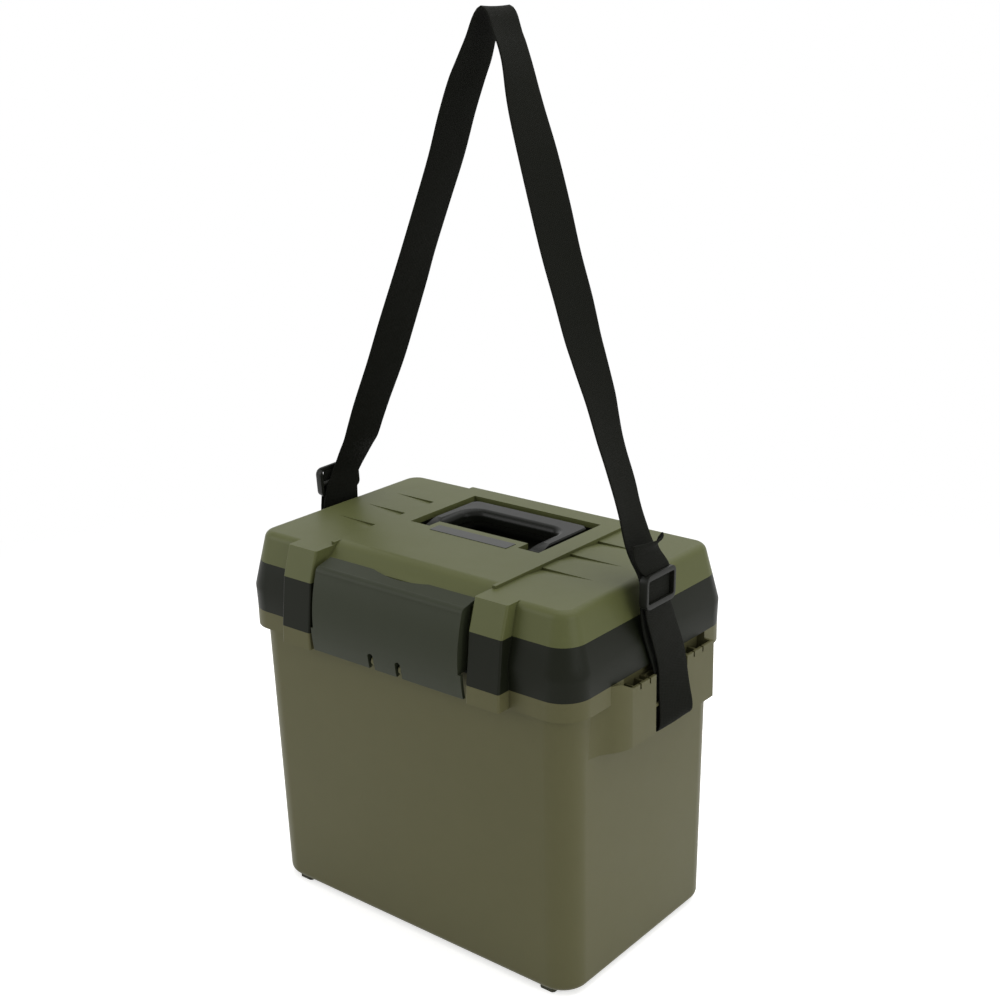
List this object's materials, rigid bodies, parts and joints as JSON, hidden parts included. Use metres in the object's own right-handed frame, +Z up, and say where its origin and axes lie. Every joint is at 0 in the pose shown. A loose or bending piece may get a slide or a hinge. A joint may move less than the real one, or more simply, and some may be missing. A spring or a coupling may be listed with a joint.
{
  "type": "fishing seat box",
  "caption": "Fishing seat box: tapered tub, hinged tray section, hinged lid with fold-down carry handle, front latch and shoulder strap.",
  "frame": {"origin": "on the ground under the middle of the box", "axes": "+Z up, -Y towards the latch side, +X to the right seen from the front"},
  "size_m": [0.4049, 0.2673, 0.8149],
  "materials": {
    "olive_plastic": "satin moulded polypropylene",
    "black_plastic": "satin moulded",
    "latch_plastic": "satin moulded",
    "handle_plastic": "semi gloss moulded",
    "slider_plastic": "moulded",
    "pin_steel": "drawn rod",
    "webbing": "woven polypropylene webbing",
    "foot_rubber": "matt",
    "label_plastic": "smooth plate"
  },
  "bodies": {
    "root": {"tub": "olive_plastic", "feet": "foot_rubber", "strap_pocket_right": "olive_plastic", "strap_pocket_left": "olive_plastic", "tray_hinge_pin_right": "pin_steel", "tray_hinge_pin_left": "pin_steel", "strap_end_right": "webbing", "strap_end_left": "webbing", "strap_upper": "webbing"},
    "tray": {"tray_section": "black_plastic", "tray_dividers": "black_plastic", "lid_hinge_pin_right": "pin_steel", "lid_hinge_pin_left": "pin_steel"},
    "lid": {"lid_shell": "olive_plastic", "handle_well": "black_plastic", "label_plate": "label_plastic"},
    "handle": {"carry_handle": "handle_plastic"},
    "latch": {"latch": "latch_plastic"},
    "slider_right": {"strap_slider_right": "slider_plastic"},
    "slider_left": {"strap_slider_left": "slider_plastic"}
  },
  "joints": [
    {"name": "tray_tilt", "type": "hinge", "parent": "root", "child": "tray", "pos_m": [0, 0.127, 0.2845], "axis": [-1, 0, 0], "range_deg": [0, 90], "deforming": ["strap_upper"]},
    {"name": "lid_open", "type": "hinge", "parent": "tray", "child": "lid", "pos_m": [0, 0.1215, 0.3305], "axis": [-1, 0, 0], "range_deg": [0, 95], "deforming": ["strap_upper"]},
    {"name": "handle_lift", "type": "hinge", "parent": "lid", "child": "handle", "pos_m": [0, 0.003, 0.35], "axis": [1, 0, 0], "range_deg": [0, 95]},
    {"name": "latch_swing", "type": "hinge", "parent": "root", "child": "latch", "pos_m": [0, -0.127, 0.2765], "axis": [1, 0, 0], "range_deg": [0, 170]},
    {"name": "slider_right_slide", "type": "slide", "parent": "root", "child": "slider_right", "axis": [0, 0.2334, -0.9724], "range_m": [0, 0.05]},
    {"name": "slider_left_slide", "type": "slide", "parent": "root", "child": "slider_left", "axis": [0, 0.04, -0.9992], "range_m": [0, 0.05]}
  ]
}
